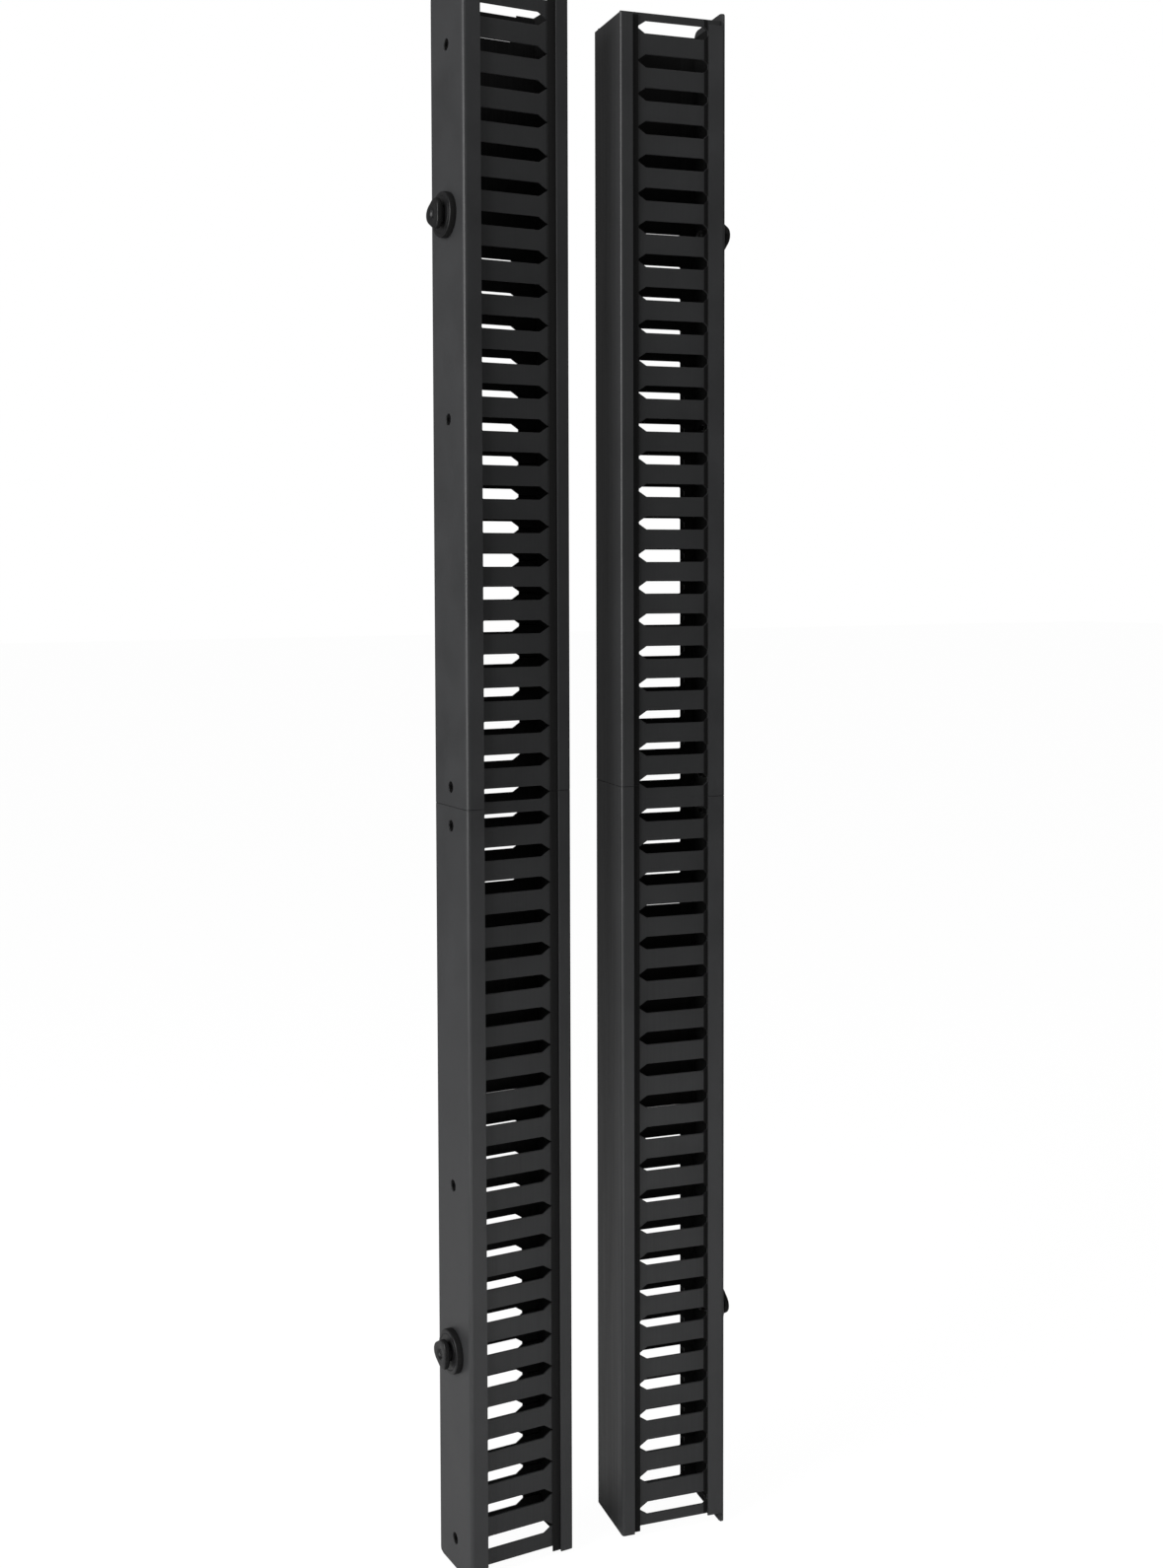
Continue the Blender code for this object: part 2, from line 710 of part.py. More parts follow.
def centre_on_floor(anchors):
    """Move the columns together, so that the origin is under the middle of the pair's box."""
    bpy.context.view_layer.update()
    corners = [
        piece.matrix_world @ Vector(corner)
        for piece in bpy.data.objects
        if piece.type == "MESH" and not piece.hide_render
        for corner in ((v.co.x, v.co.y, v.co.z) for v in piece.data.vertices)
    ]
    middle_x = (min(p.x for p in corners) + max(p.x for p in corners)) / 2
    middle_y = (min(p.y for p in corners) + max(p.y for p in corners)) / 2
    shift = Matrix.Translation((-middle_x, -middle_y, 0.0))
    for anchor in anchors:
        anchor.location = shift @ anchor.location


def main():
    """Build the pair of cable managers."""
    clear_scene()
    materials = make_materials()
    anchors = [make_column(column, materials) for column in COLUMNS]
    centre_on_floor(anchors)


main()
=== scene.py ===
"""The looks of a pair of upright finger-duct cable managers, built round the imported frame.

Each column's steel back channel, slotted duct, push-on covers, mounting buttons and fasteners are
finer pieces that stand in the CAD nodes' own places. Run it in Blender after the frame is packed.
"""

import json
import logging
import math
from dataclasses import dataclass, field
from enum import Enum

import bmesh
import bpy
from mathutils import Matrix, Vector


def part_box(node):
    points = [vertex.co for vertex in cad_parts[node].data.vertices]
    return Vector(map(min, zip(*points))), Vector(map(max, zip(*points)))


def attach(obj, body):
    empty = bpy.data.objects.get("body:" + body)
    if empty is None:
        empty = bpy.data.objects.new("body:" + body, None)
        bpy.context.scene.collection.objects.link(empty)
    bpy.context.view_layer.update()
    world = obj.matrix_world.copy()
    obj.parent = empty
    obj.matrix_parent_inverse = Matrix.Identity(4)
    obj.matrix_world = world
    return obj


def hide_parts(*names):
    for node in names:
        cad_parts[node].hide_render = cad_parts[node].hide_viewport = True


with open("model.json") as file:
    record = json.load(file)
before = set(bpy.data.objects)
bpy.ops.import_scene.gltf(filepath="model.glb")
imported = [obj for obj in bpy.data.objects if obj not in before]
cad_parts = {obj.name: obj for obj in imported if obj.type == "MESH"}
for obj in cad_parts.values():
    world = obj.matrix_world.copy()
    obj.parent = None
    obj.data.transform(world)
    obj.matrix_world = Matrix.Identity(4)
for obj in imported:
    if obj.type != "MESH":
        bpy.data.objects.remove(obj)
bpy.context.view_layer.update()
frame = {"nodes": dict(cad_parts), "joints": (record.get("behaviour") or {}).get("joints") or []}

log = logging.getLogger("cable_managers")

Colour = tuple[float, float, float]
Point = tuple[float, float, float]

UP = Vector((0.0, 0.0, 1.0))

# The photograph's height in pixels
PICTURE_HEIGHT = 1590

# The body of every piece that doesn't move
FIXED_BODY = "frame"

# The middle range of a pattern, which is spread over a finish's whole range
PATTERN_LOW = 0.3
PATTERN_HIGH = 0.7

# The mark of painted shade on faces, and what it does to their colour and roughness
PAINTED_SHADE_MARK = "painted_shade"
PAINTED_SHADE_COLOUR_SHARE = 0.01
PAINTED_SHADE_ROUGHNESS = 0.5

# A face looks along a direction when more than this share of its normal lies along it
FACING_SHARE = 0.5

# The duct's floor lies before the first depth, and the cover's inner face after the second; both get
# painted shade
INSIDE_FLOOR = 0.012
INSIDE_COVER = 0.125

# Where the painted shadow beside the right column's flange ends, along its depth
RIGHT_PAINTED_SHADOW_END = 0.0252

# Points closer than this are one point in a turned form
TURNED_MERGE = 0.000001

# Faces across a rounded rim
RIM_STEPS = 4


class Section(Enum):
    """The two sections of a column."""

    UPPER = "upper"
    LOWER = "lower"


class Slot(Enum):
    """The record's material slots."""

    PAINTED_STEEL = "painted_steel"
    DUCT_PLASTIC = "duct_plastic"
    COVER_PLASTIC = "cover_plastic"
    KNOB_PLASTIC = "knob_plastic"
    BLACK_SCREW = "black_screw"
    ZINC_STEEL = "zinc_steel"


class Rim(Enum):
    """The two ways in which a profile can run round a rim."""

    ONTO_FACE = "onto_face"
    OFF_FACE = "off_face"


# Finishes


class Nodes:
    """The node tree of one material, with short calls for the nodes that the finishes share."""

    def __init__(self, name: str) -> None:
        """Start a material.

        Args:
            name: The material's name.
        """
        self.material = bpy.data.materials.new(name)
        self.material.use_nodes = True
        self.tree = self.material.node_tree
        self.shader = self.tree.nodes["Principled BSDF"]
        self.coordinates = self.tree.nodes.new("ShaderNodeTexCoord")

    def link(self, start: bpy.types.NodeSocket, end: bpy.types.NodeSocket) -> None:
        """Join two sockets."""
        self.tree.links.new(start, end)

    def stretched(self, scale: Point) -> bpy.types.NodeSocket:
        """Stretch the Object coordinates.

        Args:
            scale: The scale along each axis.

        Returns:
            The socket of the stretched coordinates.
        """
        mapping = self.tree.nodes.new("ShaderNodeMapping")
        mapping.inputs["Scale"].default_value = scale
        self.link(self.coordinates.outputs["Object"], mapping.inputs["Vector"])
        return mapping.outputs["Vector"]

    def noise(self, scale: float, detail: float, stretch: Point = (1.0, 1.0, 1.0)) -> bpy.types.NodeSocket:
        """Add a noise pattern.

        Args:
            scale: Waves in a metre.
            detail: Octaves of finer noise on it.
            stretch: Scale along each axis, for streaks.

        Returns:
            The socket of its value from zero to one.
        """
        texture = self.tree.nodes.new("ShaderNodeTexNoise")
        texture.inputs["Scale"].default_value = scale
        texture.inputs["Detail"].default_value = detail
        self.link(self.stretched(stretch), texture.inputs["Vector"])
        return texture.outputs["Fac"]

    def cells(self, scale: float) -> bpy.types.NodeSocket:
        """Add a pattern of fine cells.

        Args:
            scale: Cells in a metre.

        Returns:
            The socket of the distance from each cell's middle.
        """
        texture = self.tree.nodes.new("ShaderNodeTexVoronoi")
        texture.inputs["Scale"].default_value = scale
        self.link(self.coordinates.outputs["Object"], texture.inputs["Vector"])
        return texture.outputs["Distance"]

    def spread(self, value: bpy.types.NodeSocket, low: float, high: float) -> bpy.types.NodeSocket:
        """Spread a pattern's middle range between two values.

        Args:
            value: The pattern.
            low: What its middle range starts at.
            high: What it ends at.

        Returns:
            The socket of the spread value.
        """
        reach = self.tree.nodes.new("ShaderNodeMapRange")
        reach.inputs["From Min"].default_value = PATTERN_LOW
        reach.inputs["From Max"].default_value = PATTERN_HIGH
        reach.inputs["To Min"].default_value = low
        reach.inputs["To Max"].default_value = high
        self.link(value, reach.inputs["Value"])
        return reach.outputs["Result"]

    def painted_shade(self, shown: float, hidden: float) -> bpy.types.NodeSocket:
        """Give faces with painted shade another value than faces without it.

        Args:
            shown: The value on faces without painted shade.
            hidden: The value on faces with a full mark of painted shade.

        Returns:
            The socket of the value.
        """
        shade_mark = self.tree.nodes.new("ShaderNodeAttribute")
        shade_mark.attribute_type = "GEOMETRY"
        shade_mark.attribute_name = PAINTED_SHADE_MARK
        reach = self.tree.nodes.new("ShaderNodeMapRange")
        reach.inputs["To Min"].default_value = shown
        reach.inputs["To Max"].default_value = hidden
        self.link(shade_mark.outputs["Fac"], reach.inputs["Value"])
        return reach.outputs["Result"]

    def roughness(self, value: bpy.types.NodeSocket, low: float, high: float) -> None:
        """Let the roughness follow a pattern, and be higher where shade is painted on, which dims the
        highlights there.

        Args:
            value: The pattern.
            low: The least roughness.
            high: The greatest roughness on faces without painted shade.
        """
        add = self.tree.nodes.new("ShaderNodeMath")
        add.operation = "ADD"
        add.use_clamp = True
        self.link(self.spread(value, low, high), add.inputs[0])
        self.link(self.painted_shade(0.0, PAINTED_SHADE_ROUGHNESS), add.inputs[1])
        self.link(add.outputs[0], self.shader.inputs["Roughness"])

    def colour(self, value: bpy.types.NodeSocket, low: Colour, high: Colour) -> None:
        """Let the base colour follow a pattern, and go dark where shade is painted on.

        Args:
            value: The pattern.
            low: The colour at its low end.
            high: The colour at its high end.
        """
        scale = self.tree.nodes.new("ShaderNodeVectorMath")
        scale.operation = "SCALE"
        self.link(self.colours(value, low, high), scale.inputs["Vector"])
        self.link(self.painted_shade(1.0, PAINTED_SHADE_COLOUR_SHARE), scale.inputs["Scale"])
        self.link(scale.outputs["Vector"], self.shader.inputs["Base Color"])

    def colours(self, value: bpy.types.NodeSocket, low: Colour, high: Colour) -> bpy.types.NodeSocket:
        """Run from one colour to another with a pattern.

        Args:
            value: The pattern.
            low: The colour at its low end.
            high: The colour at its high end.

        Returns:
            The socket of the colour.
        """
        ramp = self.tree.nodes.new("ShaderNodeValToRGB")
        ramp.color_ramp.elements[0].position = PATTERN_LOW
        ramp.color_ramp.elements[0].color = (*low, 1.0)
        ramp.color_ramp.elements[1].position = PATTERN_HIGH
        ramp.color_ramp.elements[1].color = (*high, 1.0)
        self.link(value, ramp.inputs["Fac"])
        return ramp.outputs["Color"]

    def bump(
        self, value: bpy.types.NodeSocket, height: float, under: bpy.types.NodeSocket | None = None
    ) -> bpy.types.NodeSocket:
        """Add a bump.

        Args:
            value: The pattern that is raised.
            height: Its height in metres.
            under: A normal that it lies on, where there is one.

        Returns:
            The socket of the bumped normal.
        """
        node = self.tree.nodes.new("ShaderNodeBump")
        node.inputs["Strength"].default_value = 1.0
        node.inputs["Distance"].default_value = height
        self.link(value, node.inputs["Height"])
        if under is not None:
            self.link(under, node.inputs["Normal"])
        return node.outputs["Normal"]


@dataclass(frozen=True)
class PowderCoat:
    """Satin black powder coat on sheet steel: a fine orange peel with a slow change of gloss."""

    name: str = "powder_coat_black"
    dark: Colour = (0.0230, 0.0235, 0.0245)
    light: Colour = (0.0300, 0.0305, 0.0320)
    rough_low: float = 0.40
    rough_high: float = 0.52
    specular: float = 0.42
    peel_scale: float = 900.0
    peel_detail: float = 2.0
    peel_height: float = 0.00009
    speck_scale: float = 2600.0
    speck_height: float = 0.00003
    cloud_scale: float = 14.0
    cloud_detail: float = 4.0

    def build(self) -> bpy.types.Material:
        """Build the coat.

        Returns:
            The material.
        """
        nodes = Nodes(self.name)
        cloud = nodes.noise(self.cloud_scale, self.cloud_detail)
        nodes.colour(cloud, self.dark, self.light)
        nodes.roughness(cloud, self.rough_low, self.rough_high)
        nodes.shader.inputs["Specular IOR Level"].default_value = self.specular
        peel = nodes.bump(nodes.noise(self.peel_scale, self.peel_detail), self.peel_height)
        specks = nodes.bump(nodes.cells(self.speck_scale), self.speck_height, peel)
        nodes.link(specks, nodes.shader.inputs["Normal"])
        return nodes.material


@dataclass(frozen=True)
class ExtrudedPlastic:
    """Black extruded plastic: long faint die lines up the section over a very fine grain."""

    name: str
    dark: Colour
    light: Colour
    rough_low: float
    rough_high: float
    specular: float
    line_scale: float = 420.0
    line_detail: float = 2.0
    line_height: float = 0.00004
    line_stretch: Point = (1.0, 1.0, 0.012)
    grain_scale: float = 1500.0
    grain_detail: float = 2.0
    grain_height: float = 0.00003
    cloud_scale: float = 11.0
    cloud_detail: float = 3.0

    def build(self) -> bpy.types.Material:
        """Build the plastic.

        Returns:
            The material.
        """
        nodes = Nodes(self.name)
        cloud = nodes.noise(self.cloud_scale, self.cloud_detail)
        nodes.colour(cloud, self.dark, self.light)
        lines = nodes.noise(self.line_scale, self.line_detail, self.line_stretch)
        nodes.roughness(lines, self.rough_low, self.rough_high)
        nodes.shader.inputs["Specular IOR Level"].default_value = self.specular
        drawn = nodes.bump(lines, self.line_height)
        grain = nodes.noise(self.grain_scale, self.grain_detail)
        nodes.link(nodes.bump(grain, self.grain_height, drawn), nodes.shader.inputs["Normal"])
        return nodes.material


@dataclass(frozen=True)
class MouldedPlastic:
    """Black moulded plastic with the fine even texture of a spark-eroded mould."""

    name: str = "knob_plastic_black"
    dark: Colour = (0.0040, 0.0040, 0.0043)
    light: Colour = (0.0075, 0.0075, 0.0080)
    rough_low: float = 0.30
    rough_high: float = 0.40
    specular: float = 0.30
    grain_scale: float = 2200.0
    grain_height: float = 0.00005
    cloud_scale: float = 60.0
    cloud_detail: float = 3.0

    def build(self) -> bpy.types.Material:
        """Build the plastic.

        Returns:
            The material.
        """
        nodes = Nodes(self.name)
        cloud = nodes.noise(self.cloud_scale, self.cloud_detail)
        nodes.colour(cloud, self.dark, self.light)
        grain = nodes.cells(self.grain_scale)
        nodes.roughness(cloud, self.rough_low, self.rough_high)
        nodes.shader.inputs["Specular IOR Level"].default_value = self.specular
        nodes.link(nodes.bump(grain, self.grain_height), nodes.shader.inputs["Normal"])
        return nodes.material


@dataclass(frozen=True)
class PlatedSteel:
    """Steel with a thin plated or blackened coat: a mottled colour and fine turning marks."""

    name: str
    dark: Colour
    light: Colour
    metallic: float
    rough_low: float
    rough_high: float
    specular: float = 0.5
    mottle_scale: float = 380.0
    mottle_detail: float = 5.0
    mark_scale: float = 2400.0
    mark_detail: float = 2.0
    mark_height: float = 0.00003

    def build(self) -> bpy.types.Material:
        """Build the coated steel.

        Returns:
            The material.
        """
        nodes = Nodes(self.name)
        mottle = nodes.noise(self.mottle_scale, self.mottle_detail)
        nodes.colour(mottle, self.dark, self.light)
        nodes.roughness(mottle, self.rough_low, self.rough_high)
        nodes.shader.inputs["Metallic"].default_value = self.metallic
        nodes.shader.inputs["Specular IOR Level"].default_value = self.specular
        marks = nodes.noise(self.mark_scale, self.mark_detail)
        nodes.link(nodes.bump(marks, self.mark_height), nodes.shader.inputs["Normal"])
        return nodes.material


FINISHES = {
    Slot.PAINTED_STEEL: PowderCoat(),
    Slot.DUCT_PLASTIC: ExtrudedPlastic(
        name="duct_plastic_black",
        dark=(0.0170, 0.0175, 0.0182),
        light=(0.0240, 0.0246, 0.0255),
        rough_low=0.46,
        rough_high=0.60,
        specular=0.36,
    ),
    Slot.COVER_PLASTIC: ExtrudedPlastic(
        name="cover_plastic_black",
        dark=(0.0190, 0.0195, 0.0203),
        light=(0.0255, 0.0260, 0.0270),
        rough_low=0.40,
        rough_high=0.50,
        specular=0.42,
    ),
    Slot.KNOB_PLASTIC: MouldedPlastic(),
    Slot.BLACK_SCREW: PlatedSteel(
        name="blackened_steel",
        dark=(0.0040, 0.0040, 0.0042),
        light=(0.0080, 0.0080, 0.0084),
        metallic=0.0,
        rough_low=0.50,
        rough_high=0.65,
        specular=0.12,
    ),
    Slot.ZINC_STEEL: PlatedSteel(
        name="zinc_plated_steel",
        dark=(0.045, 0.045, 0.044),
        light=(0.085, 0.085, 0.082),
        metallic=0.9,
        rough_low=0.36,
        rough_high=0.52,
    ),
}


# Pieces


@dataclass
class Workshop:
    """Turns finished meshes into pieces of the object, dressed and riding on their bodies."""

    materials: dict[Slot, bpy.types.Material] = field(default_factory=dict)
    merge_distance: float = 0.00001
    flat_angle: float = math.radians(1.0)
    edge_angle: float = math.radians(42.0)
    smooth_angle: float = math.radians(34.0)
    rounding_segments: int = 2
    strip_share: float = 1.3
    end_slack: float = 0.0001

    def prepare(self) -> None:
        """Build every finish once."""
        for slot, finish in FINISHES.items():
            self.materials[slot] = finish.build()
            log.info("finish %s: %s", slot.value, self.materials[slot].name)

    def hard_edges(self, shell: bmesh.types.BMesh, square_ends: bool) -> list[bmesh.types.BMEdge]:
        """Find the edges of a form that are rounded.

        Args:
            shell: The form.
            square_ends: True to leave out the edges round its top and bottom ends.

        Returns:
            The edges.
        """
        heights = [vertex.co.z for vertex in shell.verts]
        ends = (min(heights), max(heights)) if square_ends else ()
        return [
            edge
            for edge in shell.edges
            if edge.is_manifold
            and edge.calc_face_angle(0.0) > self.edge_angle
            and not any(
                all(abs(vertex.co.z - end) < self.end_slack for vertex in edge.verts) for end in ends
            )
        ]

    def shade(self, shell: bmesh.types.BMesh, rounding: float) -> None:
        """Shade the narrow faces of rounded edges smooth, and keep the big faces flat.

        Args:
            shell: The rounded form.
            rounding: The width of its rounded edges in metres.
        """
        for face in shell.faces:
            longest = max(edge.calc_length() for edge in face.edges)
            face.smooth = face.calc_area() / longest < rounding * self.strip_share
        # A narrow face in the plane of a flat one is part of it
        waiting = [face for face in shell.faces if not face.smooth]
        while waiting:
            flat = waiting.pop()
            for other in {face for edge in flat.edges for face in edge.link_faces if face.smooth}:
                if other.normal.angle(flat.normal, 0.0) < self.flat_angle:
                    other.smooth = False
                    waiting.append(other)

    def refined(self, node: str, rounding: float, square_ends: bool = False) -> bmesh.types.BMesh:
        """Round the hard edges of a CAD node's form.

        Args:
            node: The node's name.
            rounding: The width of the rounded edge in metres.
            square_ends: True to leave its sawn top and bottom ends sharp.

        Returns:
            A new mesh in the node's own place.
        """
        shell = bmesh.new()
        shell.from_mesh(frame["nodes"][node].data)
        bmesh.ops.remove_doubles(shell, verts=shell.verts, dist=self.merge_distance)
        bmesh.ops.dissolve_limit(
            shell, angle_limit=self.flat_angle, verts=shell.verts, edges=shell.edges
        )
        bmesh.ops.bevel(
            shell,
            geom=self.hard_edges(shell, square_ends),
            offset=rounding,
            offset_type="OFFSET",
            affect="EDGES",
            segments=self.rounding_segments,
            profile=0.5,
            material=-1,
            clamp_overlap=True,
        )
        shell.normal_update()
        self.shade(shell, rounding)
        return shell

    def finish(self, shell: bmesh.types.BMesh, node: str, body: str, slot: Slot) -> None:
        """Make a mesh the piece that stands for one CAD node.

        Args:
            shell: The mesh, in the frame's metres.
            node: The CAD node it replaces; the piece takes its name.
            body: The body it rides on.
            slot: Its material slot.
        """
        for edge in shell.edges:
            rounded = edge.is_manifold and all(face.smooth for face in edge.link_faces)
            edge.smooth = rounded and edge.calc_face_angle(0.0) < self.smooth_angle
        mesh = bpy.data.meshes.new(f"{node}_shape")
        shell.to_mesh(mesh)
        shell.free()
        mesh.materials.append(self.materials[slot])
        piece = bpy.data.objects.new(f"{node}_piece", mesh)
        bpy.context.scene.collection.objects.link(piece)
        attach(piece, body)
        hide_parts(node)
        log.info("piece %s on %s, %d faces", piece.name, body, len(mesh.polygons))


@dataclass(frozen=True)
class ColumnAxes:
    """A column's own axes in the frame: its back centre, and its depth out of the back."""

    origin: Vector
    depth: Vector

    @property
    def across(self) -> Vector:
        """The direction of the column's width."""
        return UP.cross(self.depth)

    def matrix(self, height: float) -> Matrix:
        """Return the place of a piece that is modelled along X at the origin.

        Args:
            height: Its height in metres.

        Returns:
            The transform from the piece's axes to the frame's.
        """
        turn = Matrix((self.depth, self.across, UP)).transposed().to_4x4()
        return Matrix.Translation(self.origin + UP * height) @ turn

    def depths(self, node: str) -> tuple[float, float]:
        """Measure a node's box along the column's depth.

        Args:
            node: The node's name.

        Returns:
            The least and the greatest depth of the box's corners.
        """
        low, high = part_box(node)
        corners = [
            (Vector((x, y, 0.0)) - self.origin).dot(self.depth)
            for x in (low[0], high[0])
            for y in (low[1], high[1])
        ]
        return min(corners), max(corners)


def column_axes(name: str) -> ColumnAxes:
    """Find a column's axes from the hinge of its upper hand knob.

    Args:
        name: The column's name.

    Returns:
        Its axes.
    """
    for joint in frame["joints"]:
        if joint["name"] == f"{name}_knob_upper_turn":
            place = joint["pos_m"]
            return ColumnAxes(Vector((place[0], place[1], 0.0)), -Vector(joint["axis"]).normalized())
    raise LookupError(name)


def middle_height(node: str) -> float:
    """Return the height of a node's middle."""
    low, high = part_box(node)
    return (low[2] + high[2]) / 2


def painted_shade_marks(shell: bmesh.types.BMesh) -> bmesh.types.BMLayerItem:
    """Return the layer of a mesh's painted shade marks, which the finishes read to darken faces."""
    layers = shell.faces.layers.float
    return layers.get(PAINTED_SHADE_MARK) or layers.new(PAINTED_SHADE_MARK)


def paint_shade_band(
    shell: bmesh.types.BMesh, axes: ColumnAxes, start: float, end: float, edge_on: bool
) -> None:
    """Paint shade on the faces of a piece that start in a band along the column's depth.

    Args:
        shell: The piece's mesh.
        axes: Its column's axes.
        start: Where the painted shade starts along the column's depth.
        end: Where it ends.
        edge_on: True to mark only faces that look along the depth.
    """
    marks = painted_shade_marks(shell)
    for face in shell.faces:
        depth = min((vertex.co - axes.origin).dot(axes.depth) for vertex in face.verts)
        along = abs(face.normal.dot(axes.depth)) > FACING_SHARE
        if start < depth < end and (along or not edge_on):
            face[marks] = 1.0


def paint_shade_inside(shell: bmesh.types.BMesh, axes: ColumnAxes, shade: float) -> None:
    """Paint shade on the faces of a column's piece that look into the duct, where little light comes.

    Args:
        shell: The piece's mesh.
        axes: Its column's axes.
        shade: The mark's value, up to one.
    """
    marks = painted_shade_marks(shell)
    across = axes.across
    for face in shell.faces:
        offset = face.calc_center_median() - axes.origin
        depth = offset.dot(axes.depth)
        side = math.copysign(1.0, offset.dot(across))
        looks_out = face.normal.dot(across) * side
        looks_along = face.normal.dot(axes.depth)
        on_floor = looks_along > FACING_SHARE and depth < INSIDE_FLOOR
        on_cover = looks_along < -FACING_SHARE and depth > INSIDE_COVER
        if looks_out < -FACING_SHARE or on_floor or on_cover:
            face[marks] = max(face[marks], shade)


def paint_shade_sides(shell: bmesh.types.BMesh, shade: float) -> None:
    """Paint shade on the round sides of a piece that is turned about the X axis.

    Args:
        shell: The piece's mesh, before it is set in its place.
        shade: The mark's value, up to one.
    """
    marks = painted_shade_marks(shell)
    for face in shell.faces:
        if abs(face.normal.x) < FACING_SHARE:
            face[marks] = shade


def paint_shade_all(shell: bmesh.types.BMesh, shade: float) -> None:
    """Paint shade on every face of a sunk piece.

    Args:
        shell: The piece's mesh.
        shade: The mark's value, up to one.
    """
    marks = painted_shade_marks(shell)
    for face in shell.faces:
        face[marks] = shade


def turned(profile: list[tuple[float, float]], steps: int) -> bmesh.types.BMesh:
    """Turn a profile about the X axis.

    Args:
        profile: Points (x, radius) in order. It is closed when it ends where it starts.
        steps: Sides of the full turn.

    Returns:
        The closed form at the origin.
    """
    shell = bmesh.new()
    closed = profile[0] == profile[-1]
    points = profile[:-1] if closed else profile
    line = [shell.verts.new((x, radius, 0.0)) for x, radius in points]
    edges = [shell.edges.new(pair) for pair in zip(line, line[1:])]
    if closed:
        edges.append(shell.edges.new((line[-1], line[0])))
    bmesh.ops.spin(
        shell,
        geom=line + edges,
        cent=(0.0, 0.0, 0.0),
        axis=(1.0, 0.0, 0.0),
        angle=math.tau,
        steps=steps,
        use_merge=True,
    )
    bmesh.ops.remove_doubles(shell, verts=shell.verts, dist=TURNED_MERGE)
    bmesh.ops.recalc_face_normals(shell, faces=shell.faces)
    for face in shell.faces:
        face.smooth = True
    return shell


def rounded_rim(x: float, radius: float, edge: float, rim: Rim) -> list[tuple[float, float]]:
    """Draw the rounded rim of a face that looks out of the back.

    Args:
        x: The face's place along the axis.
        radius: The rim's full radius.
        edge: The rounding's radius.
        rim: Whether the profile comes onto the face or leaves it.

    Returns:
        The profile's points (x, radius), in its order.
    """
    arc = []
    for step in range(RIM_STEPS + 1):
        angle = math.pi / 2 * step / RIM_STEPS
        arc.append((x + edge * (1 - math.sin(angle)), radius - edge * (1 - math.cos(angle))))
    return arc if rim is Rim.ONTO_FACE else arc[::-1]


